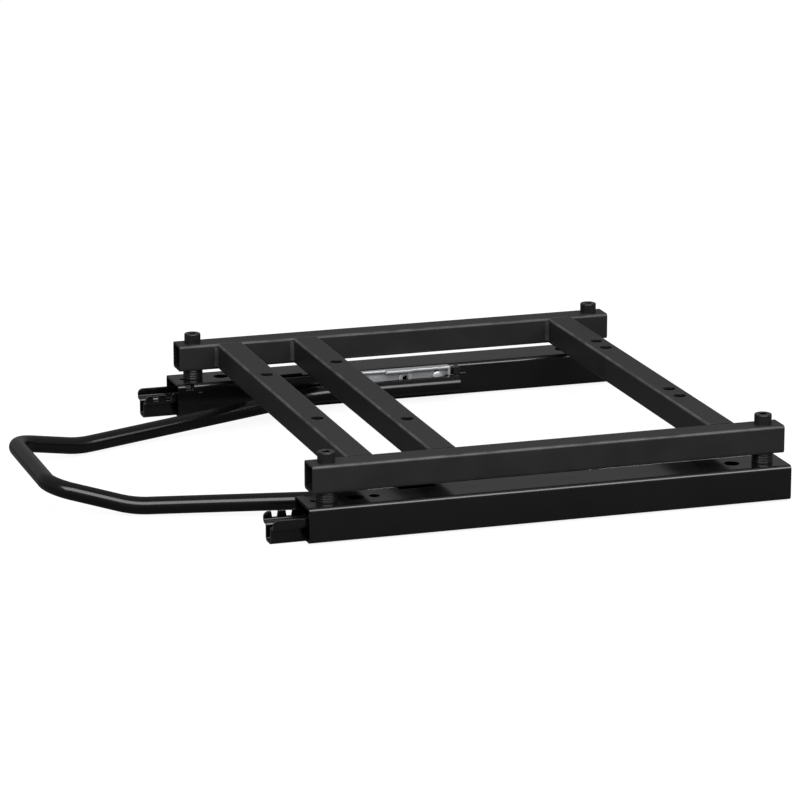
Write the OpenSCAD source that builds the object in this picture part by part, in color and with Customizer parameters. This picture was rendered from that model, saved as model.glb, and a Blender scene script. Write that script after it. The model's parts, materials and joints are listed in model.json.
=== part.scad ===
// Seat slide with a welded tube frame on two locking rails and a lift-up release bar.
// X runs along the rails, with the front at -X. Z is up, and Z = 0 is the floor under the rails.
// X = 0 is the middle of the lower rails.

/* [Rails] */
// Length of each upper and lower rail
rail_l = 380; // [340:1:460]
// How far each rail's centre line lies inside the centre line of its side tube
rail_inset = 2; // [0:0.1:4]
// Width of an upper rail
rail_w = 38.6; // [36:0.2:44]
// Height of an upper rail, from its lips to its top
rail_h = 27; // [26:0.5:32]
// Sheet thickness of both rails
sheet_t = 2; // [1.6:0.1:2.4]
// Outer radius of a rail's folds
fold_r = 3; // [2.5:0.1:4]
// Height of the upper rail's lips above the floor
floor_gap = 1.5; // [1:0.1:3]
// How far the carriage stands behind the middle of the lower rails
carriage_x = 26; // [0:1:40]
// Travel of the carriage towards the front, in steps of the comb
front_step_count = 9; // [4:1:9]
// Travel of the carriage towards the rear, in steps of the comb
rear_step_count = 5; // [2:1:5]

/* [Lower rail] */
// Outer width of the foot of the lower rail
foot_w = 14; // [12:0.2:16]
// Outer width over the wings of the lower rail
wing_w = 27.4; // [25:0.2:28]
// Height of the underside of the wings
wing_z = 12; // [10:0.5:13]
// Height of the top edge of the wings
wing_top = 20; // [18:0.5:21]
// Radius at the upper corners of a wing's ends
wing_corner_r = 4; // [1:0.5:5]
// Gap between the foot and each lip of the upper rail
lip_gap = 1.5; // [0.8:0.1:2]
// Diameter of the floor bolt holes
floor_hole_d = 6.6; // [5:0.1:7]
// Distance of a floor bolt hole from the end of its rail
floor_hole_end = 41; // [30:1:60]

/* [Comb and latch] */
// Spacing of the comb's notches
comb_pitch = 11; // [10:0.5:12]
// Least distance of a notch from either end of the rail
comb_margin = 7; // [6:0.5:10]
// Width of a notch at its mouth
notch_top_w = 5.4; // [5:0.1:6]
// Width of a notch at its bottom
notch_bottom_w = 4; // [3.8:0.1:4.6]
// Depth of a notch
notch_depth = 4.6; // [3:0.1:5]
// Number of claws on each latch
claw_count = 3; // [2:1:3]
// Distance of the first claw in front of the lever's pivot
claw_ahead = 111.5; // [108:0.5:114]
// Width of a claw along the rail
claw_w = 3.4; // [2.6:0.1:3.6]
// Thickness of the claw plate
claw_t = 2.2; // [1.6:0.1:2.6]
// Gap between the claws and the top of the comb at rest
claw_gap = 0.3; // [0.3:0.1:0.8]
// Thickness of the latch lever
lever_t = 2; // [1.6:0.1:2.2]
// Gap between the lever and the side of the upper rail
lever_gap = 0.4; // [0.3:0.1:0.6]
// Height of the lever above the centre of the release bar
lever_h = 14; // [13:0.5:14]
// Length of the lever behind its pivot
lever_rear = 38; // [36:1:44]
// Length of the lever in front of its pivot
lever_front = 75; // [70:1:78]
// Width of the lever's top flange
flange_w = 8.5; // [6:0.5:10]
// Length of the flange's wide part in front of the pivot
flange_wide_l = 18; // [12:1:30]
// Distance of the lever's pivot behind the middle of the carriage
pivot_x = 3; // [0:1:6]
// Height of the lever's pivot
pivot_z = 20; // [19:0.5:20.5]
// Diameter of the pivot pin
pivot_d = 8; // [6:0.5:9]
// Diameter of the pivot pin's head
pivot_head_d = 11.6; // [10:0.2:12]
// Bore of the tubular pivot pin
pivot_bore = 5.6; // [4:0.2:6]
// Distance of the stop pin behind the pivot
stop_x = 28; // [26:1:30]
// Diameter of the stop pin
stop_d = 5; // [4:0.5:6]
// How far the release bar drops from rest to its locked place, in degrees
drop_deg = 0.6; // [0:0.1:1]
// How far the release bar lifts from rest, in degrees
lift_deg = 4.5; // [2:0.1:4.5]

/* [Release bar] */
// Diameter of the bar
bar_d = 13.4; // [11:0.1:14]
// Wall of the bar
bar_t = 1.8; // [1.2:0.1:2.5]
// Height of the bar beside the rails
bar_z = 14.5; // [12:0.5:15]
// Distance from the side of an upper rail to the centre of the bar
bar_gap = 10.9; // [10.6:0.1:13]
// Length of the straight arm behind the middle of the carriage
arm_rear = 47; // [43:1:55]
// Distance of the first bend in front of the middle of the carriage
bend_x = 78.5; // [72:0.5:90]
// Distance of the low bend in front of the middle of the carriage
low_x = 292.5; // [270:0.5:320]
// Half the distance between the low bends
low_y = 88.6; // [70:0.1:110]
// Height of the low bends
low_z = 7.3; // [7:0.1:12]
// Distance of the grip in front of the middle of the carriage
grip_x = 350; // [330:1:380]
// Half the distance between the corners of the grip
grip_y = 64.6; // [50:0.1:75]
// Height of the grip
grip_z = 21; // [15:0.1:30]
// Bend radius of the bar
bar_bend_r = 24; // [18:1:28]

/* [Seat frame] */
// How much shorter the frame is than the rails, at each end
frame_end = 4; // [2:0.5:10]
// How far the frame stands behind the middle of the upper rails
frame_shift = 0.5; // [0:0.5:4]
// Width over the side tubes
frame_w = 401; // [360:0.2:460]
// Width and height of every square tube
tube_w = 21.5; // [18:0.5:25]
// Wall of the tubes
tube_t = 2; // [1.2:0.1:3]
// Corner radius of the tubes
tube_r = 2.5; // [2:0.1:3]
// Distance of the front and rear cross tubes from the ends of the frame
cross_end = 42.5; // [38:0.5:60]
// Distance of the middle cross tube behind the front one
cross_gap = 64.5; // [50:0.5:100]
// Leg of the weld in each corner between two tubes
weld_w = 2.6; // [1.5:0.1:4]
// Diameter of the seat bolt holes
seat_hole_d = 10; // [7:0.1:12]
// Distance of the inner seat bolt holes from the centre line
seat_inner_y = 70; // [50:0.5:75]
// Distance of the outer seat bolt holes from the centre line
seat_outer_y = 92.5; // [85:0.5:140]

/* [Fasteners] */
// Distance of the frame bolts from the ends of the frame
bolt_end = 13.5; // [12:0.5:18]
// Thread diameter of the frame bolts
bolt_d = 8; // [6:1:8]
// Diameter of the bolt heads
bolt_head_d = 13.3; // [11:0.1:15]
// Height of the bolt heads
bolt_head_h = 8; // [6:0.5:10]
// Width across flats of the socket in a bolt head
socket_w = 6; // [4:0.5:7]
// Length of a bolt below its head
bolt_l = 40; // [38:0.5:42]
// Diameter of the spacers under the frame
spacer_d = 16; // [14:0.5:18]
// Height of the spacers
spacer_h = 8.3; // [7:0.1:14]
// Width across flats of the nuts inside the upper rails
nut_w = 13; // [12:0.5:15]
// Height of the nuts
nut_h = 6.5; // [5:0.5:7]
// Clearance of a bolt in its holes, on the diameter
bolt_play = 0.6; // [0.2:0.1:1]

/* [Glides and stops] */
// Length of a glide shoe
shoe_l = 30; // [20:1:36]
// Distance of the front shoes in front of the middle of the carriage
shoe_front_x = 58; // [54:1:62]
// Distance of the rear shoes from the rear end of the upper rail
shoe_end = 96; // [96:1:110]
// Sliding clearance all round the lower rail
slide_gap = 0.3; // [0.2:0.05:0.6]
// Distance of the stop stud behind the middle of the carriage
stud_x = 20; // [0:1:40]
// Diameter of the stop stud
stud_d = 6; // [5:0.5:8]
// Height of the stop stud's lower end
stud_z = 5.5; // [4:0.5:7]
// Diameter of the stop rivets in the lower rail
stop_rivet_d = 8; // [6:0.5:9]
// Height of the stop rivets above the foot
stop_rivet_h = 7; // [6:0.5:9]
// Gap left at a stop rivet when the carriage is at its limit
stop_gap = 1; // [0.5:0.1:2]

/* [Return spring] */
// Diameter of the spring wire
wire_d = 1.4; // [1:0.1:1.8]
// Number of turns side by side
turn_count = 3; // [2:1:4]
// Diameter of the coil, to the middle of the wire
coil_d = 7; // [6:0.1:8]
// Distance of the coil behind the end of the lever
coil_x = 6.5; // [6:0.5:10]
// Height of the tab at the end of the lever, which the spring pushes up
tab_h = 7.5; // [7:0.5:9]

/* [Hidden] */
$fn = 64;
// Overlap used where one shape cuts through another
eps = 1;
// Heights of the stack from the floor to the top of the frame
rail_top = floor_gap + rail_h;
plate_z = rail_top - sheet_t;
frame_z = rail_top + spacer_h;
frame_top = frame_z + tube_w;
// Places of the frame's tubes and bolts, from the middle of the frame
frame_l = rail_l - 2 * frame_end;
frame_x = carriage_x + frame_shift;
tube_y = (frame_w - tube_w) / 2;
cross_x = frame_l / 2 - cross_end;
bolt_x = frame_l / 2 - bolt_end;
bolt_y = tube_y;
rail_y = tube_y - rail_inset;
floor_hole_x = rail_l / 2 - floor_hole_end;
// Claws, and the comb whose notches lie under them
lever_x = carriage_x + pivot_x;
claw_x0 = lever_x - claw_ahead;
front_notches = floor((rail_l / 2 + claw_x0 - comb_margin) / comb_pitch);
rear_notches = floor((rail_l / 2 - claw_x0 - comb_margin) / comb_pitch);
claw_x1 = claw_x0 + (claw_count - 1) * comb_pitch;
claw_z = wing_top + claw_gap;
claw_top = bar_z + lever_h;
claw_margin = 1.6;
window_x0 = claw_x0 - claw_w / 2 - claw_margin;
window_x1 = claw_x1 + claw_w / 2 + claw_margin;
window_y = wing_w / 2 - sheet_t - claw_margin;
claw_reach = window_y + claw_margin / 2;
window_z = claw_z - (lever_x - window_x0) * sin(drop_deg) - claw_margin / 2;
// Latch lever
lever_y = rail_w / 2 + lever_gap;
bar_offset = rail_w / 2 + bar_gap;
lever_rim = 3.5;
lever_z0 = pivot_z - pivot_d / 2 - lever_rim;
lever_z1 = bar_z + lever_h;
pin_play = 0.1;
head_gap = 0.35;
head_play = 0.15;
head_t = bar_offset - bar_d / 2 - lever_y - lever_t - head_play - head_gap;
cradle_l = 40;
cradle_t = 2.4;
cradle_lip = 35;
flange_setback = 20;
flange_front = lever_front - flange_setback;
flange_step = 1.5;
flange_narrow_w = 4.5;
// Rivets that hold the claw plate on the lever
claw_rivet_d = 4;
claw_rivet_head_d = 6;
claw_rivet_head_t = 1.2;
claw_rivet_end = 4.5;
claw_rivet_pitch = 8;
claw_rivet_x0 = lever_x - lever_front + claw_rivet_end;
claw_rivet_xs = [claw_rivet_x0, claw_rivet_x0 + claw_rivet_pitch];
claw_rivet_z = (claw_z + claw_t + claw_top) / 2;
// Access and locating holes in the top of an upper rail
access_hole_d = 12;
locating_hole_d = 6;
locating_end = 9;
locating_x = rail_l / 2 - locating_end;
tooling_hole_d = 8;
tooling_gap = 38;
tooling_x = bolt_x - tooling_gap;
// Rear glide shoes, and the corners of every shoe that clear the folds
shoe_rear_x = rail_l / 2 - shoe_end;
shoe_chamfer = max(fold_r - sheet_t, 0) + 0.4;
// Swelling of the release bar at its bends, and how far its straights run into them
bend_swell = 0.08;
bend_lap = 0.5;
// Return spring, with its moving leg under the lever's tab and its fixed leg in a hole of the rail
coil_lap = 0.05;
coil_gap = 0.3;
leg_gap = 0.1;
leg_thin = 0.1;
leg_l = coil_x + lever_t + 2;
anchor_l = 10;
post_d = coil_d - wire_d - 1;
post_head_d = coil_d - wire_d + 0.8;
post_head_t = 1;
spring_x = lever_x + lever_rear + coil_x;
spring_z = lever_z1 - tab_h - leg_gap - wire_d / 2 + coil_d / 2;
turn_pitch = wire_d - coil_lap;
// Corner window and stop tab near the front of the upper rail's inner side
corner_x0 = carriage_x - rail_l / 2 + 6;
corner_l = 7.5;
corner_h = 4.5;
corner_w = 6;
tab_gap = 3.5;
stop_tab = [3, 0.8, 7.5];
stop_tab_z = 14;
// Small edge breaks
head_round = 0.8;
socket_depth = bolt_head_h / 2;

// Rectangle with round corners, centred across and standing on y = 0
module round_rect(w, h, r) {
    translate([-w / 2 + r, 0]) square([w - 2 * r, h]);
    translate([-w / 2, r]) square([w, h - 2 * r]);
    for (x = [-w / 2 + r, w / 2 - r], y = [r, h - r]) translate([x, y]) circle(r = r);
}

// Sweeps a section drawn in Y and Z along X, from x = 0 to x = l
module extrude_x(l) {
    rotate([90, 0, 90]) linear_extrude(height = l) children();
}

// Sweeps a profile drawn in X and Z along Y, from y to y + l
module extrude_y(y, l) {
    translate([0, y + l, 0]) rotate([90, 0, 0]) linear_extrude(height = l) children();
}

// Carries a part drawn on a rail's own centre line to the left or right rail.
// On the rail, +Y is the inner side, towards the middle of the seat.
module on_left() { translate([0, rail_y, 0]) mirror([0, 1, 0]) children(); }
module on_right() { translate([0, -rail_y, 0]) children(); }

// What lies between a square corner at the origin and a round of radius r that replaces it
module corner_waste(r) {
    difference() {
        square(r);
        translate([r, r]) circle(r = r);
    }
}

// Section of the lower rail: a narrow foot under a wider trough with upright wings
module lower_section() {
    trough_h = 2 * (wing_top - wing_z);
    foot_h = 2 * wing_z;
    difference() {
        union() {
            round_rect(foot_w, foot_h, fold_r);
            translate([0, wing_z]) round_rect(wing_w, trough_h, fold_r);
            // Inner side of the fold where the foot turns out into the trough
            for (side = [0, 1]) mirror([side, 0]) {
                translate([foot_w / 2, wing_z]) mirror([0, 1]) corner_waste(fold_r - sheet_t);
            }
        }
        translate([0, sheet_t]) round_rect(foot_w - 2 * sheet_t, foot_h, fold_r - sheet_t);
        translate([0, wing_z + sheet_t]) round_rect(wing_w - 2 * sheet_t, trough_h, fold_r - sheet_t);
        translate([-wing_w, wing_top]) square([2 * wing_w, trough_h]);
        // Outer side of the same fold
        for (side = [0, 1]) mirror([side, 0]) {
            translate([foot_w / 2 - sheet_t, wing_z + sheet_t]) mirror([0, 1]) corner_waste(fold_r);
        }
    }
}

// Side view of the lower rail, with the upper corners of its ends rounded
module lower_side() {
    r = wing_corner_r;
    translate([-rail_l / 2, -eps]) square([rail_l, wing_top - r + eps]);
    translate([-rail_l / 2 + r, 0]) square([rail_l - 2 * r, wing_top + eps]);
    for (x = [-1, 1]) translate([x * (rail_l / 2 - r), wing_top - r]) circle(r = r);
}

// One notch of the comb, wider at its mouth
module notch() {
    slope = (notch_top_w - notch_bottom_w) / 2 / notch_depth;
    mouth = notch_top_w / 2 + slope * eps;
    polygon([
        [-notch_bottom_w / 2, -notch_depth], [notch_bottom_w / 2, -notch_depth],
        [mouth, eps], [-mouth, eps]]);
}

module lower_rail() {
    difference() {
        intersection() {
            translate([-rail_l / 2, 0, 0]) extrude_x(rail_l) lower_section();
            extrude_y(-rail_w, 2 * rail_w) lower_side();
        }
        for (i = [-front_notches : rear_notches]) {
            translate([claw_x0 + i * comb_pitch, 0, wing_top]) {
                extrude_y(wing_w / 2 - sheet_t - eps, sheet_t + 2 * eps) notch();
            }
        }
        for (x = [-1, 1]) {
            translate([x * floor_hole_x, 0, -eps]) cylinder(h = sheet_t + 2 * eps, d = floor_hole_d);
        }
    }
}
module lower_rail_left() { color("#1b1b1c") on_left() lower_rail(); }
module lower_rail_right() { color("#1b1b1c") on_right() lower_rail(); }

// Rivets in the foot that end the carriage's travel
module stop_rivets() {
    reach = stop_gap + (stop_rivet_d + stud_d) / 2;
    front = carriage_x + stud_x - front_step_count * comb_pitch - reach;
    rear = carriage_x + stud_x + rear_step_count * comb_pitch + reach;
    for (x = [front, rear]) translate([x, 0, sheet_t]) cylinder(h = stop_rivet_h, d = stop_rivet_d);
}
module stop_rivets_left() { color("#8f9093") on_left() stop_rivets(); }
module stop_rivets_right() { color("#8f9093") on_right() stop_rivets(); }

// Section of the upper rail: a channel open downwards, with lips turned in under the wings
module upper_section() {
    slot_w = foot_w + 2 * lip_gap;
    translate([0, floor_gap]) difference() {
        round_rect(rail_w, rail_h, fold_r);
        translate([0, sheet_t]) round_rect(rail_w - 2 * sheet_t, rail_h - 2 * sheet_t, fold_r - sheet_t);
        translate([-slot_w / 2, -eps]) square([slot_w, sheet_t + 2 * eps]);
    }
}

// Upright hole through the top of the upper rail
module top_hole(x, y, d) {
    translate([carriage_x + x, y, plate_z - eps]) cylinder(h = sheet_t + 2 * eps, d = d);
}

// Hole through the inner side of the upper rail
module side_hole(x, z, d) {
    translate([x, rail_w / 2 + eps, z]) rotate([90, 0, 0]) cylinder(h = sheet_t + 2 * eps, d = d);
}

module upper_rail() {
    bolt_shift = rail_y - bolt_y;
    difference() {
        translate([carriage_x - rail_l / 2, 0, 0]) extrude_x(rail_l) upper_section();
        for (x = [-1, 1]) {
            top_hole(frame_shift + x * bolt_x, bolt_shift, bolt_d + bolt_play);
            top_hole(x * floor_hole_x, 0, access_hole_d);
        }
        top_hole(-locating_x, 0, locating_hole_d);
        top_hole(-tooling_x, 0, tooling_hole_d);
        top_hole(stud_x, 0, stud_d);
        // Window in the inner corner for the claws
        translate([window_x0, window_y, window_z]) {
            cube([window_x1 - window_x0, rail_w / 2 - window_y + eps, rail_top - window_z + eps]);
        }
        // Smaller window in the same corner, near the front end
        translate([corner_x0, rail_w / 2 - corner_w, rail_top - corner_h]) {
            cube([corner_l, corner_w + eps, corner_h + eps]);
        }
        side_hole(lever_x, pivot_z, pivot_d);
        side_hole(lever_x + stop_x, pivot_z, stop_d);
        side_hole(spring_x, spring_z, post_d);
        side_hole(spring_x + anchor_l, spring_z - coil_d / 2, wire_d + pin_play);
    }
    // Stop tab, half sheared out of the inner side behind that window
    translate([corner_x0 + corner_l + tab_gap, rail_w / 2 - sheet_t / 2, stop_tab_z]) {
        cube(stop_tab + [0, sheet_t / 2, 0]);
    }
}
module upper_rail_left() { color("#1f1f20") on_left() upper_rail(); }
module upper_rail_right() { color("#1f1f20") on_right() upper_rail(); }

// Stud staked in the top of the upper rail, which meets the stop rivets in the trough
module stop_stud() {
    translate([carriage_x + stud_x, 0, stud_z]) cylinder(h = rail_top - stud_z, d = stud_d);
}
module stop_stud_left() { color("#1f1f20") on_left() stop_stud(); }
module stop_stud_right() { color("#1f1f20") on_right() stop_stud(); }

// Section of a glide shoe: it fills the side of the channel and wraps round the wing
module glide_section() {
    c = shoe_chamfer;
    side = rail_w / 2 - sheet_t;
    wing = wing_w / 2 + slide_gap;
    lip = foot_w / 2 + lip_gap;
    low = floor_gap + sheet_t;
    top_arm = wing_w / 2 - sheet_t - slide_gap;
    polygon([
        [lip, low], [side - c, low], [side, low + c], [side, plate_z - c], [side - c, plate_z],
        [top_arm, plate_z], [top_arm, wing_top + slide_gap], [wing, wing_top + slide_gap],
        [wing, wing_z - slide_gap], [lip, wing_z - slide_gap]]);
}
module glide(x, side) {
    translate([carriage_x + x - shoe_l / 2, 0, 0]) mirror([0, side < 0 ? 1 : 0, 0]) {
        extrude_x(shoe_l) glide_section();
    }
}
module glide_left_front_inner() { color("#d8d5c8") on_left() glide(-shoe_front_x, 1); }
module glide_left_front_outer() { color("#d8d5c8") on_left() glide(-shoe_front_x, -1); }
module glide_left_rear_inner() { color("#d8d5c8") on_left() glide(shoe_rear_x, 1); }
module glide_left_rear_outer() { color("#d8d5c8") on_left() glide(shoe_rear_x, -1); }
module glide_right_front_inner() { color("#d8d5c8") on_right() glide(-shoe_front_x, 1); }
module glide_right_front_outer() { color("#d8d5c8") on_right() glide(-shoe_front_x, -1); }
module glide_right_rear_inner() { color("#d8d5c8") on_right() glide(shoe_rear_x, 1); }
module glide_right_rear_outer() { color("#d8d5c8") on_right() glide(shoe_rear_x, -1); }

// Headed pin staked in the inner side of the upper rail, with its head outside the lever
module side_pin(x, d, head_d) {
    shank = sheet_t + lever_gap + lever_t + head_play;
    translate([x, rail_w / 2 - sheet_t, pivot_z]) rotate([-90, 0, 0]) {
        cylinder(h = shank + head_t, d = d);
        translate([0, 0, shank]) cylinder(h = head_t, d = head_d);
    }
}
// Tubular pin that the lever turns on
module pivot_pin() {
    difference() {
        side_pin(lever_x, pivot_d, pivot_head_d);
        translate([lever_x, 0, pivot_z]) rotate([-90, 0, 0]) cylinder(h = bar_offset, d = pivot_bore);
    }
}
module pivot_pin_left() { color("#c9cbcd") on_left() pivot_pin(); }
module pivot_pin_right() { color("#c9cbcd") on_right() pivot_pin(); }
module lift_stop_left() { color("#c9cbcd") on_left() side_pin(lever_x + stop_x, stop_d, stop_d + 3.5); }
module lift_stop_right() { color("#c9cbcd") on_right() side_pin(lever_x + stop_x, stop_d, stop_d + 3.5); }

// Coil on a post behind the lever. One leg pushes the lever's tab up, the other is held in the rail.
module return_spring() {
    coil_y = rail_w / 2 + coil_gap + wire_d / 2;
    last_y = coil_y + (turn_count - 1) * turn_pitch;
    low = spring_z - coil_d / 2;
    leg_d = wire_d - leg_thin;
    translate([spring_x, coil_y, spring_z]) rotate([-90, 0, 0]) rotate_extrude() {
        for (i = [0 : turn_count - 1]) translate([coil_d / 2, i * turn_pitch]) circle(d = wire_d);
    }
    translate([spring_x - leg_l, last_y, low]) rotate([0, 90, 0]) cylinder(h = leg_l, d = leg_d);
    translate([spring_x, coil_y, low]) rotate([0, 90, 0]) cylinder(h = anchor_l, d = leg_d);
    translate([spring_x + anchor_l, rail_w / 2 - sheet_t, low]) rotate([-90, 0, 0]) {
        cylinder(h = coil_y + wire_d / 2 - rail_w / 2 + sheet_t, d = wire_d);
    }
}
module return_spring_left() { color("#3a3a3c") on_left() return_spring(); }
module return_spring_right() { color("#3a3a3c") on_right() return_spring(); }

// Headed post staked in the side of the upper rail, which carries the coil
module spring_post() {
    shank = sheet_t + 2 * coil_gap + wire_d + (turn_count - 1) * turn_pitch;
    translate([spring_x, rail_w / 2 - sheet_t, spring_z]) rotate([-90, 0, 0]) {
        cylinder(h = shank + post_head_t, d = post_d);
        translate([0, 0, shank]) cylinder(h = post_head_t, d = post_head_d);
    }
}
module spring_post_left() { color("#c9cbcd") on_left() spring_post(); }
module spring_post_right() { color("#c9cbcd") on_right() spring_post(); }

// Square tube along X, with its section standing on z = 0
module square_tube(l) {
    extrude_x(l) difference() {
        round_rect(tube_w, tube_w, tube_r);
        translate([0, tube_t]) {
            round_rect(tube_w - 2 * tube_t, tube_w - 2 * tube_t, max(tube_r - tube_t, 0.3));
        }
    }
}
module tube_hole(x, y, d) {
    translate([x, y, -eps]) cylinder(h = tube_w + 2 * eps, d = d);
}

// Tube at one side of the frame, with a hole for a bolt near each end
module side_tube(side) {
    translate([frame_x, side * tube_y, frame_z]) difference() {
        translate([-frame_l / 2, 0, 0]) square_tube(frame_l);
        for (x = [-1, 1]) tube_hole(x * bolt_x, 0, bolt_d + bolt_play);
    }
}
module side_tube_left() { color("#232324") side_tube(1); }
module side_tube_right() { color("#232324") side_tube(-1); }

// Tube across the frame, with seat bolt holes at the given distances from its middle
module cross_tube(x, hole_ys) {
    span = frame_w - 2 * tube_w;
    translate([frame_x + x, 0, frame_z]) {
        difference() {
            rotate([0, 0, 90]) translate([-span / 2, 0, 0]) square_tube(span);
            for (y = hole_ys, side = [-1, 1]) tube_hole(0, side * y, seat_hole_d);
        }
        for (a = [0, 1], b = [0, 1]) mirror([a, 0, 0]) mirror([0, b, 0]) {
            translate([tube_w / 2, span / 2, tube_r]) weld_bead();
        }
    }
}
// Weld in the upright corner between the side of a cross tube and a side tube
module weld_bead() {
    linear_extrude(height = tube_w - 2 * tube_r) {
        polygon([[-eps, 0], [weld_w, 0], [0, -weld_w], [-eps, -weld_w]]);
    }
}
module cross_tube_front() { color("#232324") cross_tube(-cross_x, [seat_inner_y]); }
module cross_tube_middle() { color("#232324") cross_tube(cross_gap - cross_x, [seat_outer_y]); }
module cross_tube_rear() { color("#232324") cross_tube(cross_x, [seat_inner_y, seat_outer_y]); }

// Places a fastener at one corner of the frame
module at_corner(x, y) { translate([frame_x + x * bolt_x, y * bolt_y, 0]) children(); }

// Socket head bolt with a rounded rim and a hexagon socket
module frame_bolt() {
    r = bolt_head_d / 2;
    translate([0, 0, frame_top]) {
        difference() {
            rotate_extrude() {
                square([r - head_round, bolt_head_h]);
                square([r, bolt_head_h - head_round]);
                translate([r - head_round, bolt_head_h - head_round]) circle(r = head_round);
            }
            translate([0, 0, bolt_head_h - socket_depth]) {
                cylinder(h = socket_depth + eps, d = socket_w / cos(30), $fn = 6);
            }
        }
        translate([0, 0, -bolt_l]) cylinder(h = bolt_l + eps, d = bolt_d);
    }
}
module bolt_front_left() { color("#1c1c1d") at_corner(-1, 1) frame_bolt(); }
module bolt_front_right() { color("#1c1c1d") at_corner(-1, -1) frame_bolt(); }
module bolt_rear_left() { color("#1c1c1d") at_corner(1, 1) frame_bolt(); }
module bolt_rear_right() { color("#1c1c1d") at_corner(1, -1) frame_bolt(); }

// Sleeve that holds the frame above the rail
module spacer() {
    translate([0, 0, rail_top]) difference() {
        cylinder(h = spacer_h, d = spacer_d);
        translate([0, 0, -eps]) cylinder(h = spacer_h + 2 * eps, d = bolt_d + bolt_play);
    }
}
module spacer_front_left() { color("#1c1c1d") at_corner(-1, 1) spacer(); }
module spacer_front_right() { color("#1c1c1d") at_corner(-1, -1) spacer(); }
module spacer_rear_left() { color("#1c1c1d") at_corner(1, 1) spacer(); }
module spacer_rear_right() { color("#1c1c1d") at_corner(1, -1) spacer(); }

// Hexagon nut under the top of the upper rail
module frame_nut() {
    translate([0, 0, plate_z - nut_h]) difference() {
        cylinder(h = nut_h, d = nut_w / cos(30), $fn = 6);
        translate([0, 0, -eps]) cylinder(h = nut_h + 2 * eps, d = bolt_d + pin_play);
    }
}
module nut_front_left() { color("#b9bbbe") at_corner(-1, 1) frame_nut(); }
module nut_front_right() { color("#b9bbbe") at_corner(-1, -1) frame_nut(); }
module nut_rear_left() { color("#b9bbbe") at_corner(1, 1) frame_nut(); }
module nut_rear_right() { color("#b9bbbe") at_corner(1, -1) frame_nut(); }

// Route of the release bar, from the end of one arm round the grip to the other
bar_y = rail_y - bar_offset;
bar_half = [
    [carriage_x + arm_rear, bar_y, bar_z],
    [carriage_x - bend_x, bar_y, bar_z],
    [carriage_x - low_x, low_y, low_z],
    [carriage_x - grip_x, grip_y, grip_z]];
function mirror_y(p) = [p[0], -p[1], p[2]];
bar_route = concat(bar_half, [for (i = [len(bar_half) - 1 : -1 : 0]) mirror_y(bar_half[i])]);

function unit(v) = v / norm(v);
function heading(i) = unit(bar_route[i + 1] - bar_route[i]);
function turn(i) = acos(heading(i - 1) * heading(i));
// Length that the bend at a corner takes from each of its straights
function bend_cut(i) = (i == 0 || i == len(bar_route) - 1) ? 0 : bar_bend_r * tan(turn(i) / 2);

// Straight rod from corner i to the next, run a little way into the bends, with the bar's two open ends
// made longer by extra
module bar_straight(i, d, extra) {
    u = heading(i);
    tail = i == 0 ? extra : bend_lap;
    nose = i == len(bar_route) - 2 ? extra : bend_lap;
    start = bar_route[i] + u * (bend_cut(i) - tail);
    l = norm(bar_route[i + 1] - bar_route[i]) - bend_cut(i) - bend_cut(i + 1) + tail + nose;
    translate(start) rotate([0, acos(u[2]), atan2(u[1], u[0])]) cylinder(h = l, d = d);
}

// Round bend at corner i, where the bending swells the bar a little
module bar_bend(i, d) {
    u = heading(i - 1);
    z = unit(cross(u, heading(i)));
    x = -cross(z, u);
    start = bar_route[i] - u * bend_cut(i);
    centre = start - x * bar_bend_r;
    multmatrix([
        [x[0], u[0], z[0], centre[0]],
        [x[1], u[1], z[1], centre[1]],
        [x[2], u[2], z[2], centre[2]]]) {
        rotate_extrude(angle = turn(i)) translate([bar_bend_r, 0]) circle(d = d + bend_swell);
    }
}

module bar_solid(d, extra) {
    for (i = [0 : len(bar_route) - 2]) bar_straight(i, d, extra);
    for (i = [1 : len(bar_route) - 2]) bar_bend(i, d);
}

module release_bar() {
    color("#161617") difference() {
        bar_solid(bar_d, 0);
        bar_solid(bar_d - 2 * bar_t, eps);
    }
}

// Cradle under the arm: part of a ring round the bar, open at the top
module cradle_section() {
    inner = bar_d / 2;
    outer = inner + cradle_t;
    translate([bar_offset, bar_z]) difference() {
        circle(r = outer);
        circle(r = inner);
        translate([-outer - eps, 0]) square(2 * (outer + eps));
        rotate(-cradle_lip) translate([0, -outer - eps]) square(2 * (outer + eps));
    }
    // Web from the lever's plate into the ring
    translate([lever_y, bar_z]) square([bar_offset - inner - lever_y, cradle_t]);
}

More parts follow.
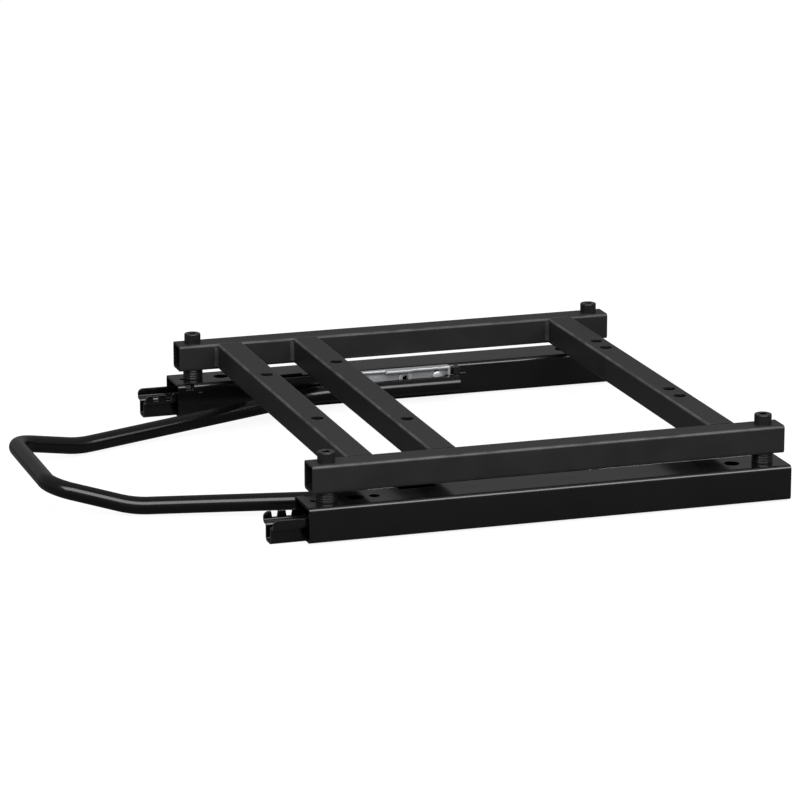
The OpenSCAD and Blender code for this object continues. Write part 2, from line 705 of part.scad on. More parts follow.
// Lever beside the rail, with a top flange and a cradle that carries the arm of the bar
module latch_lever() {
    slot_w = stop_d + 6 * pin_play;
    difference() {
        union() {
            translate([lever_x - lever_front, lever_y, lever_z0]) {
                cube([lever_front + lever_rear, lever_t, lever_z1 - lever_z0]);
            }
            // Top flange: narrow in front, wide over the pivot and a little narrower behind it
            translate([lever_x - flange_front, lever_y, lever_z1 - lever_t]) {
                cube([flange_front, flange_narrow_w, lever_t]);
            }
            translate([lever_x - flange_wide_l, lever_y, lever_z1 - lever_t]) {
                cube([flange_wide_l + pivot_d / 2, flange_w, lever_t]);
            }
            translate([lever_x, lever_y, lever_z1 - lever_t]) {
                cube([lever_rear, flange_w - flange_step, lever_t]);
            }
            // Tab turned down at the rear end of the flange
            translate([lever_x + lever_rear - lever_t, lever_y, lever_z1 - tab_h]) {
                cube([lever_t, flange_w - flange_step, tab_h]);
            }
            translate([lever_x - flange_front, 0, 0]) extrude_x(cradle_l) cradle_section();
        }
        translate([lever_x, lever_y + lever_t + eps, pivot_z]) rotate([90, 0, 0]) {
            cylinder(h = lever_t + 2 * eps, d = pivot_d + pin_play);
            // Curved slot round the lift stop
            rotate([0, 0, -drop_deg]) rotate_extrude(angle = drop_deg + lift_deg) {
                translate([stop_x - slot_w / 2, 0]) square([slot_w, lever_t + 2 * eps]);
            }
            for (a = [-drop_deg, lift_deg]) {
                rotate([0, 0, a]) translate([stop_x, 0, 0]) cylinder(h = lever_t + 2 * eps, d = slot_w);
            }
        }
        for (x = claw_rivet_xs) {
            translate([x, lever_y - eps, claw_rivet_z]) rotate([-90, 0, 0]) {
                cylinder(h = lever_t + 2 * eps, d = claw_rivet_d);
            }
        }
    }
}
module latch_lever_left() { color("#c6c8ca") on_left() latch_lever(); }
module latch_lever_right() { color("#c6c8ca") on_right() latch_lever(); }

// Plate riveted to the front of the lever, with claws that reach over the comb
module latch_claw() {
    rear = lever_x - flange_front - slide_gap;
    plate_y = lever_y + lever_t;
    difference() {
        union() {
            translate([window_x0, plate_y, claw_z]) {
                cube([rear - window_x0, claw_t, claw_top - claw_z]);
            }
            for (i = [0 : claw_count - 1]) {
                translate([claw_x0 + i * comb_pitch - claw_w / 2, claw_reach, claw_z]) {
                    cube([claw_w, plate_y - claw_reach + eps, claw_t]);
                }
            }
        }
        for (x = claw_rivet_xs) {
            translate([x, plate_y - eps, claw_rivet_z]) rotate([-90, 0, 0]) {
                cylinder(h = claw_t + 2 * eps, d = claw_rivet_d);
            }
        }
    }
}
module latch_claw_left() { color("#202021") on_left() latch_claw(); }
module latch_claw_right() { color("#202021") on_right() latch_claw(); }

// Rivets through the lever and the claw plate, with a head on the inner side
module claw_rivets() {
    shank = lever_t + claw_t;
    for (x = claw_rivet_xs) {
        translate([x, lever_y, claw_rivet_z]) rotate([-90, 0, 0]) {
            cylinder(h = shank + claw_rivet_head_t, d = claw_rivet_d);
            translate([0, 0, shank]) cylinder(h = claw_rivet_head_t, d = claw_rivet_head_d);
        }
    }
}
module claw_rivets_left() { color("#c9cbcd") on_left() claw_rivets(); }
module claw_rivets_right() { color("#c9cbcd") on_right() claw_rivets(); }

lower_rail_left();
lower_rail_right();
stop_rivets_left();
stop_rivets_right();
upper_rail_left();
upper_rail_right();
stop_stud_left();
stop_stud_right();
glide_left_front_inner();
glide_left_front_outer();
glide_left_rear_inner();
glide_left_rear_outer();
glide_right_front_inner();
glide_right_front_outer();
glide_right_rear_inner();
glide_right_rear_outer();
pivot_pin_left();
pivot_pin_right();
lift_stop_left();
lift_stop_right();
return_spring_left();
return_spring_right();
spring_post_left();
spring_post_right();
side_tube_left();
side_tube_right();
cross_tube_front();
cross_tube_middle();
cross_tube_rear();
bolt_front_left();
bolt_front_right();
bolt_rear_left();
bolt_rear_right();
spacer_front_left();
spacer_front_right();
spacer_rear_left();
spacer_rear_right();
nut_front_left();
nut_front_right();
nut_rear_left();
nut_rear_right();
release_bar();
latch_lever_left();
latch_lever_right();
latch_claw_left();
latch_claw_right();
claw_rivets_left();
claw_rivets_right();
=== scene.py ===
# %% [markdown]
# A seat slide: a welded frame of square tube, bolted on two locking slide rails, with a bent bar in front
# that frees the latches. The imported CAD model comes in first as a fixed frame. Everything here is in metres,
# with X along the rails, Z up and the floor at Z = 0, and nothing that comes from the CAD is ever moved.

# %% Load the fixed frame
import json
import math

import bmesh
import bpy
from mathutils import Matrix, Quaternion, Vector


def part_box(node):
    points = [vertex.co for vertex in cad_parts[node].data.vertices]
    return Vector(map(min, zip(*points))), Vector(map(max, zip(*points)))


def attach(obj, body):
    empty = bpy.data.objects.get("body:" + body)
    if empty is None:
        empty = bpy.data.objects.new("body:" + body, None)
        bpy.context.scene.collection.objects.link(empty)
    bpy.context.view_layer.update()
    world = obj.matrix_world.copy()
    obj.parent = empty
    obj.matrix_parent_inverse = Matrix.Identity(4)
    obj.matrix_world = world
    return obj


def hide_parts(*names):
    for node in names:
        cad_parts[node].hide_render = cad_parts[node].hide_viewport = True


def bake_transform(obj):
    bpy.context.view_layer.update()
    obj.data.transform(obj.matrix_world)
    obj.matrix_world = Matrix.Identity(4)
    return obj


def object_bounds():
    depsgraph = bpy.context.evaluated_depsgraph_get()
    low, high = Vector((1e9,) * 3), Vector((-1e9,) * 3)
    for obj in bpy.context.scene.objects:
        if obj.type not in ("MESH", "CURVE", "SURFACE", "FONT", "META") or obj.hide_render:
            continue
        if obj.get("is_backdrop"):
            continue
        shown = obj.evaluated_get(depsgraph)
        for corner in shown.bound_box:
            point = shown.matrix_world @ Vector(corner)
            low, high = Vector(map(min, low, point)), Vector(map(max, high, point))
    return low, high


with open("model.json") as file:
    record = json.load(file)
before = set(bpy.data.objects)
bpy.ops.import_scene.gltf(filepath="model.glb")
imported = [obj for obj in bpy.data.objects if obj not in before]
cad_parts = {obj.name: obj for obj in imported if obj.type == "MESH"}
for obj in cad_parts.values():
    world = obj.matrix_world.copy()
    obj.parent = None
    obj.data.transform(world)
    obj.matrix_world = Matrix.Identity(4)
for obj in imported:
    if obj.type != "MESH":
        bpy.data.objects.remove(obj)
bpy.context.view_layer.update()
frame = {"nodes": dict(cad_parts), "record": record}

nodes = frame["nodes"]

# %% [markdown]
# The camera stands where the photographer stood. Its place, tilt and focal length were worked out from the
# straight edges of the tubes and rails, so the render can be laid over the photograph. The long lens, from
# about three metres away, is what keeps the far rail almost as large as the near one.

# %% Camera
CAMERA_PLACE = (-0.9538, -2.88718, 0.84756)
CAMERA_TURN = -17.786
CAMERA_DOWN = 14.779
CAMERA_ROLL = 0.058
LENS_MM = 179.922
SENSOR_MM = 36.0
FARTHEST_SEEN = 100.0

camera_data = bpy.data.cameras.new("photo_camera")
camera_data.lens = LENS_MM
camera_data.sensor_width = SENSOR_MM
camera_data.clip_end = FARTHEST_SEEN
camera = bpy.data.objects.new("photo_camera", camera_data)
camera.location = CAMERA_PLACE
camera.rotation_euler = [math.radians(a) for a in (90 - CAMERA_DOWN, CAMERA_ROLL, CAMERA_TURN)]
scene = bpy.context.scene
scene.collection.objects.link(camera)
scene.camera = camera
scene.view_settings.view_transform = "Standard"
print("camera at", [round(c, 3) for c in camera.location], "lens", camera_data.lens, "mm")

# %% [markdown]
# Small helpers save repeating the same lines. A material is a graph of nodes, so adding a node, setting its
# values and joining it up is the step that every finish below is made of.

# %% Node helpers
def add_node(tree, kind, inputs=None, **settings):
    """Adds a shader node, sets its properties, then fills its sockets with values or links."""
    node = tree.nodes.new(kind)
    for name, value in settings.items():
        setattr(node, name, value)
    for name, value in (inputs or {}).items():
        socket = node.inputs[name]
        if isinstance(value, bpy.types.NodeSocket):
            tree.links.new(value, socket)
        else:
            socket.default_value = value
    return node


def mix_colours(tree, share, first, second):
    """Blends two colours by a share from 0 to 1, and returns the blended colour's socket."""
    node = tree.nodes.new("ShaderNodeMix")
    node.data_type = "RGBA"
    by_type = {"share": node.inputs[0], "first": node.inputs[6], "second": node.inputs[7]}
    for key, value in {"share": share, "first": first, "second": second}.items():
        if isinstance(value, bpy.types.NodeSocket):
            tree.links.new(value, by_type[key])
        else:
            by_type[key].default_value = value if key == "share" else (*value, 1.0)
    return node.outputs[2]


def spread(tree, value, low, high, start=0.0, end=1.0):
    """Maps a mask from start..end onto low..high, and returns the socket."""
    node = add_node(tree, "ShaderNodeMapRange", {
        "Value": value, "From Min": start, "From Max": end, "To Min": low, "To Max": high})
    return node.outputs["Result"]


def times(tree, first, second):
    """Multiplies two values, and returns the socket."""
    node = add_node(tree, "ShaderNodeMath", {0: first, 1: second}, operation="MULTIPLY")
    return node.outputs[0]


def plus(tree, first, second):
    """Adds two masks and keeps the sum between 0 and 1, and returns the socket."""
    node = add_node(tree, "ShaderNodeMath", {0: first, 1: second}, operation="ADD", use_clamp=True)
    return node.outputs[0]


def new_group(name, inputs, outputs):
    """Starts a shader node group with named sockets, and returns its tree, entry node and exit node."""
    tree = bpy.data.node_groups.new(name, "ShaderNodeTree")
    for socket, value in inputs.items():
        made = tree.interface.new_socket(socket, in_out="INPUT", socket_type="NodeSocketFloat")
        made.default_value = value
    for socket, kind in outputs.items():
        tree.interface.new_socket(socket, in_out="OUTPUT", socket_type=kind)
    return tree, tree.nodes.new("NodeGroupInput"), tree.nodes.new("NodeGroupOutput")


def use_group(tree, group, **inputs):
    """Places a node group in a material and sets its inputs, written with _ for a space."""
    node = tree.nodes.new("ShaderNodeGroup")
    node.node_tree = group
    for name, value in inputs.items():
        node.inputs[name.replace("_", " ")].default_value = value
    return node


def new_material(name, **constants):
    """Starts a material, and sets what is the same all over it on the shader's own sockets."""
    material = bpy.data.materials.new(name)
    material.use_nodes = True
    shader = material.node_tree.nodes["Principled BSDF"]
    for socket, value in constants.items():
        shader.inputs[socket.replace("_", " ")].default_value = value
    return material, material.node_tree, shader


print("helpers ready")

# %% [markdown]
# The floor is one wide plane. It could be painted white, but black paint mirrors whatever lies in front of it,
# so the floor is a dark grey that is lighter, and glows up to white, only for rays that come from the camera.
# Mirrored rays get a share of that glow, so that bright metal shows a paler floor while the paint stays black. No
# more light falls on the object for this, and what the object shades still looks darker, so its shadow stays.

# %% Floor
FLOOR_HALF = 20.0
FLOOR_DARK = 0.05
FLOOR_GREY = 0.12
FLOOR_GLOW = 0.9
MIRROR_SHARE = 0.03

floor_mesh = bpy.data.meshes.new("studio_floor")
shape = bmesh.new()
bmesh.ops.create_grid(shape, x_segments=1, y_segments=1, size=FLOOR_HALF)
shape.to_mesh(floor_mesh)
shape.free()
floor = bpy.data.objects.new("studio_floor", floor_mesh)
scene.collection.objects.link(floor)
floor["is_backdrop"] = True

floor_paint, tree, shader = new_material("floor_paint", Roughness=1.0, Specular_IOR_Level=0.0)
shader.inputs["Emission Color"].default_value = (1.0, 1.0, 1.0, 1.0)


def seen_rays(tree):
    """Gives 1 for rays from the camera or through glass, and the mirror share for glossy rays."""
    path = tree.nodes.new("ShaderNodeLightPath")
    mirrored = times(tree, path.outputs["Is Glossy Ray"], MIRROR_SHARE)
    direct = plus(tree, path.outputs["Is Camera Ray"], path.outputs["Is Transmission Ray"])
    return plus(tree, direct, mirrored)


seen = seen_rays(tree)
tree.links.new(mix_colours(tree, seen, [FLOOR_DARK] * 3, [FLOOR_GREY] * 3), shader.inputs["Base Color"])
tree.links.new(times(tree, seen, FLOOR_GLOW), shader.inputs["Emission Strength"])
floor_mesh.materials.append(floor_paint)
print("floor", 2 * FLOOR_HALF, "m across")

# %% [markdown]
# Black paint is drawn by what it mirrors. One long soft box stands in front, high up, and reaches far to both
# sides, so that every fold, rounded edge and bend of the bar carries a light line, while flat sides mirror the
# calm floor and stay dark. A smaller one at the back and a very wide, weak sun lift the far sides and the tops, and
# a dim room fills in the rest. Those two are kept out of the reflections, because a second line on every bend
# would make the paint look wet. The camera sees the room white, like the floor.

# %% Lights
ROOM_LIGHT = 0.16
ROOM_SEEN = 1.0
SUN_LIGHT = 1.7
SUN_WIDTH = 80.0
SUN_FROM = (-0.3, -0.15, 2.0)
AIM_POINT = (0.02, 0.0, 0.03)
BOXES = {
    "front_box": {"power": 43.0, "size": (3.2, 1.0), "place": (-0.1, -1.25, 1.2), "mirrored": True},
    "back_box": {"power": 14.0, "size": (2.4, 0.6), "place": (0.1, 1.3, 1.5), "mirrored": False}}

world = bpy.data.worlds.new("studio_room")
world.use_nodes = True
room = world.node_tree
room_level = spread(room, seen_rays(room), ROOM_LIGHT, ROOM_SEEN)
room.nodes["Background"].inputs["Color"].default_value = (1.0, 1.0, 1.0, 1.0)
room.links.new(room_level, room.nodes["Background"].inputs["Strength"])
scene.world = world


def aim(obj, place, target):
    """Puts a lamp in its place and turns it towards a point."""
    obj.location = place
    obj.rotation_euler = (Vector(target) - Vector(place)).to_track_quat("-Z", "Y").to_euler()


sun_data = bpy.data.lights.new("soft_sun", "SUN")
sun_data.energy = SUN_LIGHT
sun_data.angle = math.radians(SUN_WIDTH)
sun = bpy.data.objects.new("soft_sun", sun_data)
sun.visible_glossy = False
scene.collection.objects.link(sun)
aim(sun, SUN_FROM, (0.0, 0.0, 0.0))

for name, box in BOXES.items():
    box_data = bpy.data.lights.new(name, "AREA")
    box_data.shape = "RECTANGLE"
    box_data.size, box_data.size_y = box["size"]
    box_data.energy = box["power"]
    soft_box = bpy.data.objects.new(name, box_data)
    soft_box.visible_glossy = box["mirrored"]
    scene.collection.objects.link(soft_box)
    aim(soft_box, box["place"], AIM_POINT)
print("lights: room", ROOM_LIGHT, "sun", SUN_LIGHT, "boxes", {name: box["power"] for name, box in BOXES.items()})

# %% [markdown]
# A few effects are shared by many finishes, so each is built once as a node group. The first one rounds the
# sharp edges for the light and also says where those edges are, because paint is thinnest and most rubbed there.

# %% Group: soft edges
edge_tree, entry, leave = new_group(
    "soft_edges", {"Radius": 0.0004, "Breakup Scale": 400.0},
    {"Normal": "NodeSocketVector", "Edge": "NodeSocketFloat"})
bevel = add_node(edge_tree, "ShaderNodeBevel", {"Radius": entry.outputs["Radius"]}, samples=6)
flat = edge_tree.nodes.new("ShaderNodeNewGeometry")
facing = add_node(edge_tree, "ShaderNodeVectorMath", {
    0: bevel.outputs["Normal"], 1: flat.outputs["Normal"]}, operation="DOT_PRODUCT")
sharpness = spread(edge_tree, facing.outputs["Value"], 1.0, 0.0, start=0.72, end=0.99)
place = edge_tree.nodes.new("ShaderNodeTexCoord")
breakup = add_node(edge_tree, "ShaderNodeTexNoise", {
    "Vector": place.outputs["Object"], "Scale": entry.outputs["Breakup Scale"], "Detail": 3.0})
patchy = spread(edge_tree, breakup.outputs["Fac"], 0.0, 1.0, start=0.4, end=0.65)
edge_tree.links.new(bevel.outputs["Normal"], leave.inputs["Normal"])
edge_tree.links.new(times(edge_tree, sharpness, patchy), leave.inputs["Edge"])
print("group", edge_tree.name)

# %% [markdown]
# Drawn tube and folded sheet have corners that are truly round, so the first group finds no edge there. The tubes
# and rails all lie along the axes, and where their surface faces between two axes, it is on a rounded corner. The
# second group turns that into a mask. Hands, straps and cartons polish the paint there, and the lighter colour that
# the mask brings is partly that wear and partly a painted highlight along the corners.

# %% Group: rounded corners
corner_tree, entry, leave = new_group(
    "rounded_corners", {"Breakup Scale": 60.0}, {"Corner": "NodeSocketFloat"})
place = corner_tree.nodes.new("ShaderNodeTexCoord")
size = add_node(corner_tree, "ShaderNodeVectorMath", {0: place.outputs["Normal"]}, operation="ABSOLUTE")
sides = add_node(corner_tree, "ShaderNodeSeparateXYZ", {"Vector": size.outputs["Vector"]})
larger = add_node(corner_tree, "ShaderNodeMath", {0: sides.outputs["X"], 1: sides.outputs["Y"]}, operation="MAXIMUM")
largest = add_node(corner_tree, "ShaderNodeMath", {0: larger.outputs[0], 1: sides.outputs["Z"]}, operation="MAXIMUM")
turning = spread(corner_tree, largest.outputs[0], 0.0, 1.0, start=0.985, end=0.85)
uneven = add_node(corner_tree, "ShaderNodeTexNoise", {
    "Vector": place.outputs["Object"], "Scale": entry.outputs["Breakup Scale"], "Detail": 4.0})
# The corner mask lightens the colour: partly wear, partly a painted highlight.
patchy_corners = spread(corner_tree, uneven.outputs["Fac"], 0.35, 1.0, start=0.35, end=0.6)
corner_tree.links.new(times(corner_tree, turning, patchy_corners), leave.inputs["Corner"])
print("group", corner_tree.name)

# %% [markdown]
# The third is the skin of a sprayed coat: fine waves like an orange's peel, and wide faint clouds where the
# coat is a little thicker. Two noises of very different scale make them, and the peel could be modelled, but it is
# far too fine for a mesh, so it goes out as a height for a bump.

# %% Group: coat grain
grain_tree, entry, leave = new_group(
    "coat_grain", {"Peel Scale": 900.0, "Cloud Scale": 30.0},
    {"Height": "NodeSocketFloat", "Clouds": "NodeSocketFloat"})
place = grain_tree.nodes.new("ShaderNodeTexCoord")
peel = add_node(grain_tree, "ShaderNodeTexNoise", {
    "Vector": place.outputs["Object"], "Scale": entry.outputs["Peel Scale"], "Detail": 2.0})
clouds = add_node(grain_tree, "ShaderNodeTexNoise", {
    "Vector": place.outputs["Object"], "Scale": entry.outputs["Cloud Scale"], "Detail": 4.0})
grain_tree.links.new(peel.outputs["Fac"], leave.inputs["Height"])
grain_tree.links.new(spread(grain_tree, clouds.outputs["Fac"], 0.0, 1.0, start=0.3, end=0.7), leave.inputs["Clouds"])
print("group", grain_tree.name)

# %% [markdown]
# The fourth is a light fall of dust. It lies only on faces that look up, so the upward part of the surface's own
# direction is the mask, and a fine noise breaks it into specks.

# %% Group: fallen dust
dust_tree, entry, leave = new_group(
    "fallen_dust", {"Speck Scale": 1800.0, "Cover": 0.5}, {"Dust": "NodeSocketFloat"})
place = dust_tree.nodes.new("ShaderNodeTexCoord")
flat = dust_tree.nodes.new("ShaderNodeNewGeometry")
upward = add_node(dust_tree, "ShaderNodeSeparateXYZ", {"Vector": flat.outputs["Normal"]})
specks = add_node(dust_tree, "ShaderNodeTexNoise", {
    "Vector": place.outputs["Object"], "Scale": entry.outputs["Speck Scale"], "Detail": 2.0})
lying = times(dust_tree, spread(dust_tree, upward.outputs["Z"], 0.0, 1.0, start=0.6, end=1.0),
              spread(dust_tree, specks.outputs["Fac"], 0.0, 1.0, start=0.62, end=0.78))
dust_tree.links.new(times(dust_tree, lying, entry.outputs["Cover"]), leave.inputs["Dust"])
print("group", dust_tree.name)

# %% [markdown]
# The inside of a tube, a drilled hole or a rail gets little light, so painted shade darkens the colour there.
# A path tracer can measure how closed in a point is: rays are sent out from it, and the share that meets the same
# piece again nearby becomes the mask.

# %% Group: painted shade in recesses
recess_shade_tree, entry, leave = new_group("painted_recess_shade", {"Reach": 0.03}, {"Recess Shade": "NodeSocketFloat"})
# Painted shade: the more closed in a point is, the darker its colour is made.
closed_in = add_node(recess_shade_tree, "ShaderNodeAmbientOcclusion", {
    "Distance": entry.outputs["Reach"]}, samples=6, only_local=True)
recess_shade_tree.links.new(
    spread(recess_shade_tree, closed_in.outputs["AO"], 0.0, 1.0, start=0.85, end=0.5), leave.inputs["Recess Shade"])
print("group", recess_shade_tree.name)

# %% [markdown]
# The spacers are cut from bar on a lathe, which leaves a fine thread of rings around them. Rings around the
# upright axis are bands along Z, so a wave texture draws them, and a little noise keeps them from being too even.

# %% Group: turning lines
turning_tree, entry, leave = new_group(
    "turning_lines", {"Ring Scale": 165.0, "Wander": 0.2}, {"Height": "NodeSocketFloat"})
place = turning_tree.nodes.new("ShaderNodeTexCoord")
rings = add_node(turning_tree, "ShaderNodeTexWave", {
    "Vector": place.outputs["Object"], "Scale": entry.outputs["Ring Scale"], "Distortion": entry.outputs["Wander"],
    "Detail": 2.0, "Detail Scale": 0.6}, wave_type="BANDS", bands_direction="Z")
turning_tree.links.new(rings.outputs["Fac"], leave.inputs["Height"])
print("group", turning_tree.name)

# %% [markdown]
# Every painted or plated piece gets its finish from the same recipe: two close colours mixed by the clouds, a
# lighter colour on rubbed edges, a lighter colour on corners that is partly wear and partly a painted highlight,
# painted shade in recesses, dust on top, roughness from the clouds, and a bump from the peel. Each finish could have a
# graph of its own, but then a mend in one would have to be repeated in all the others.

# %% Recipe for a coated surface
def coated(name, colour, cloud_colour, edge_wear_and_highlight_colour, rough, peel_scale, peel_depth,
           edge_radius=0.0004, edge_share=0.3, corner_wear_and_highlight=0.0, corner_polish=1.0, turned=0.0,
           dust=0.25, dust_colour=(0.2, 0.2, 0.19), recess_shade_colour=None, **constants):
    """Makes a finish. The share and depth values say how strong each effect is, and 0 leaves it out."""
    material, tree, shader = new_material(name, **constants)
    edges = use_group(tree, edge_tree, Radius=edge_radius)
    grain = use_group(tree, grain_tree, Peel_Scale=peel_scale)
    fall = use_group(tree, dust_tree, Cover=dust)
    paint = mix_colours(tree, grain.outputs["Clouds"], colour, cloud_colour)
    worn_and_lit_paint = mix_colours(tree, times(tree, edges.outputs["Edge"], edge_share), paint, edge_wear_and_highlight_colour)
    roughness = spread(tree, grain.outputs["Clouds"], *rough)
    # Corners get a lighter colour, partly wear and partly a painted highlight.
    if corner_wear_and_highlight:
        corners = use_group(tree, corner_tree)
        worn_and_lit_paint = mix_colours(tree, times(tree, corners.outputs["Corner"], corner_wear_and_highlight), worn_and_lit_paint, edge_wear_and_highlight_colour)
        roughness = times(tree, roughness, spread(tree, corners.outputs["Corner"], 1.0, corner_polish))
    finish = mix_colours(tree, fall.outputs["Dust"], worn_and_lit_paint, dust_colour)
    # Painted shade: recesses get a darker colour.
    if recess_shade_colour:
        recess_shade = use_group(tree, recess_shade_tree).outputs["Recess Shade"]
        finish = mix_colours(tree, recess_shade, finish, recess_shade_colour)
    tree.links.new(finish, shader.inputs["Base Color"])
    tree.links.new(roughness, shader.inputs["Roughness"])
    bump = add_node(tree, "ShaderNodeBump", {
        "Height": grain.outputs["Height"], "Normal": edges.outputs["Normal"],
        "Strength": 1.0, "Distance": peel_depth})
    if turned:
        lines = use_group(tree, turning_tree)
        bump = add_node(tree, "ShaderNodeBump", {
            "Height": lines.outputs["Height"], "Normal": bump.outputs["Normal"], "Strength": 1.0, "Distance": turned})
    tree.links.new(bump.outputs["Normal"], shader.inputs["Normal"])
    return material


print("recipe ready, with", len(bpy.data.node_groups), "groups")

# %% [markdown]
# The black finishes differ mostly in gloss. The tubes have a satin powder coat whose corners are lighter, partly from
# wear and partly as a painted highlight, a little so on the rails too, while the rails and the bar have a smoother and
# darker coat. The black is never pure, since even black paint sends back a little light. Tubes, rails and bolts get
# painted shade in their recesses. Bolts and spacers are blackened in a hot bath, which leaves the steel's own texture
# and bright rubbed edges.

# %% Black finishes
frame_coat = coated(
    "frame_powder_coat", (0.0115, 0.0115, 0.012), (0.015, 0.015, 0.0156), (0.1, 0.1, 0.101),
    rough=(0.42, 0.52), peel_scale=900.0, peel_depth=0.00002, recess_shade_colour=(0.001, 0.001, 0.001),
    corner_wear_and_highlight=0.6, corner_polish=0.85, Specular_IOR_Level=0.45)
rail_coat = coated(
    "rail_coat", (0.0026, 0.0026, 0.0029), (0.0038, 0.0038, 0.0041), (0.08, 0.08, 0.081),
    rough=(0.14, 0.2), peel_scale=500.0, peel_depth=0.000008, recess_shade_colour=(0.0012, 0.0012, 0.0012),
    corner_wear_and_highlight=0.1, Specular_IOR_Level=0.8)
bar_coat = coated(
    "bar_gloss_coat", (0.0019, 0.0019, 0.0021), (0.0026, 0.0026, 0.0028), (0.05, 0.05, 0.051),
    rough=(0.14, 0.2), peel_scale=350.0, peel_depth=0.000006, Specular_IOR_Level=0.6)
bolt_oxide = coated(
    "bolt_black_oxide", (0.0068, 0.0068, 0.0072), (0.01, 0.01, 0.0105), (0.18, 0.18, 0.182),
    rough=(0.22, 0.32), peel_scale=1400.0, peel_depth=0.00001, edge_radius=0.0006, edge_share=0.6,
    recess_shade_colour=(0.0015, 0.0015, 0.0015), Specular_IOR_Level=0.8)
turned_oxide = coated(
    "spacer_turned_oxide", (0.006, 0.006, 0.0064), (0.0095, 0.0095, 0.01), (0.18, 0.18, 0.182),
    rough=(0.2, 0.28), peel_scale=1400.0, peel_depth=0.00001, edge_radius=0.0005, edge_share=0.6,
    turned=0.00022, Specular_IOR_Level=0.8)
print("black finishes:", [m.name for m in (frame_coat, rail_coat, bar_coat, bolt_oxide, turned_oxide)])

# %% [markdown]
# The latch is bright zinc, whose milky skin is part mirror and part white, so it is only partly metallic. Its wide
# soft edges carry the white lines of the photograph. The springs are oiled steel wire, and the hidden glides are
# plain nylon.

# %% Zinc, wire and nylon
zinc_plate = coated(
    "zinc_plate", (0.56, 0.57, 0.585), (0.66, 0.665, 0.68), (0.93, 0.93, 0.94),
    rough=(0.24, 0.38), peel_scale=700.0, peel_depth=0.00001, edge_radius=0.0016, edge_share=0.8,
    dust=0.1, Metallic=0.6)
zinc_rivet = coated(
    "zinc_rivet", (0.68, 0.685, 0.7), (0.78, 0.785, 0.8), (0.93, 0.93, 0.94),
    rough=(0.2, 0.3), peel_scale=900.0, peel_depth=0.000006, edge_radius=0.0024, edge_share=0.3,
    dust=0.1, Metallic=0.6)
spring_wire = coated(
    "spring_wire", (0.06, 0.06, 0.063), (0.1, 0.1, 0.104), (0.2, 0.2, 0.205),
    rough=(0.24, 0.36), peel_scale=900.0, peel_depth=0.00001, dust=0.1, Metallic=1.0)
glide_nylon = coated(
    "glide_nylon", (0.68, 0.66, 0.59), (0.74, 0.72, 0.66), (0.8, 0.78, 0.72),
    rough=(0.42, 0.55), peel_scale=1200.0, peel_depth=0.00002, dust=0.1, Specular_IOR_Level=0.5)
print("other finishes:", [m.name for m in (zinc_plate, zinc_rivet, spring_wire, glide_nylon)])

# %% [markdown]
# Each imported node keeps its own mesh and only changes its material. The record says which slot a node belongs
# to, so the finishes are handed out by slot. Within a slot, the turned spacers and the domed rivets and pins get
# a finish of their own.

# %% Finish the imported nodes
finish_of_slot = {
    "rail_black": rail_coat, "tube_black": frame_coat, "bolt_black": bolt_oxide,
    "zinc": zinc_plate, "spring_steel": spring_wire, "nylon": glide_nylon, "bar_black": bar_coat}
finish_of_kind = {
    "spacer": turned_oxide, "pivot_pin": zinc_rivet, "lift_stop": zinc_rivet, "claw_rivets": zinc_rivet}
for part in frame["record"]["subparts"]:
    finish = finish_of_slot[part["material_slot"]]
    for kind, own_finish in finish_of_kind.items():
        if part["node"].startswith(kind):
            finish = own_finish
    mesh = nodes[part["node"]].data
    mesh.materials.clear()
    mesh.materials.append(finish)

# %% [markdown]
# Three kinds of piece are built here as meshes. Each one ends in the same way: its faces are turned outwards and shaded
# smooth, it gets its finish, and it joins the scene. One helper does that for all of them.

# %% Helper that finishes a built shape
def finished_piece(name, shape, finish, sharp_degrees=180):
    """Turns a built shape into a smooth object, with a crease at each edge sharper than given, and finishes it."""
    bmesh.ops.recalc_face_normals(shape, faces=shape.faces)
    mesh = bpy.data.meshes.new(name)
    shape.to_mesh(mesh)
    shape.free()
    mesh.polygons.foreach_set("use_smooth", [True] * len(mesh.polygons))
    mesh.set_sharp_from_angle(angle=math.radians(sharp_degrees))
    mesh.materials.append(finish)
    piece = bpy.data.objects.new(name, mesh)
    scene.collection.objects.link(piece)
    return piece


print("mesh helper ready")

# %% [markdown]
# The pins of the latch are set like rivets: the tube of the pivot is rolled over into a rounded rim, and the solid
# ones are hammered into low domes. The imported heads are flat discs, and a rounded cap over each of them catches
# the light as the real ones do. A cap is a short profile of radius and height, turned around the pin's axis, which
# is how a header die would form it.

# %% Rolled rims and domed heads
MM = 0.001
CAP_STEPS = 56
RIM_PROFILE = [(0.98, -0.1), (0.985, 0.0), (0.95, 0.1), (0.88, 0.27), (0.81, 0.37), (0.74, 0.4), (0.64, 0.35),
               (0.54, 0.2), (0.46, 0.03), (0.43, -0.1)]
DOME_PROFILE = [(0.985, -0.1), (0.98, 0.08), (0.9, 0.32), (0.75, 0.56), (0.55, 0.74), (0.3, 0.84), (0.0, 0.87)]


def head_cap(name, centre, radius, profile, outward, body, finish):
    """Turns a profile around Y at the middle of a flat head. Radii are shares of the head's, heights are in mm."""
    shape = bmesh.new()
    rings = []
    for share, height in profile:
        y = centre[1] + outward * height * MM
        turns = CAP_STEPS if share > 0 else 1
        angles = [2 * math.pi * i / turns for i in range(turns)]
        rings.append([shape.verts.new((centre[0] + radius * share * math.cos(a), y,
                                       centre[2] + radius * share * math.sin(a))) for a in angles])
    for ring, following in zip(rings, rings[1:]):
        for i in range(CAP_STEPS):
            j = (i + 1) % CAP_STEPS
            inner = [following[j], following[i]] if len(following) > 1 else [following[0]]
            shape.faces.new([ring[i], ring[j], *inner])
    cap = finished_piece(name, shape, finish)
    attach(cap, body)
    return cap


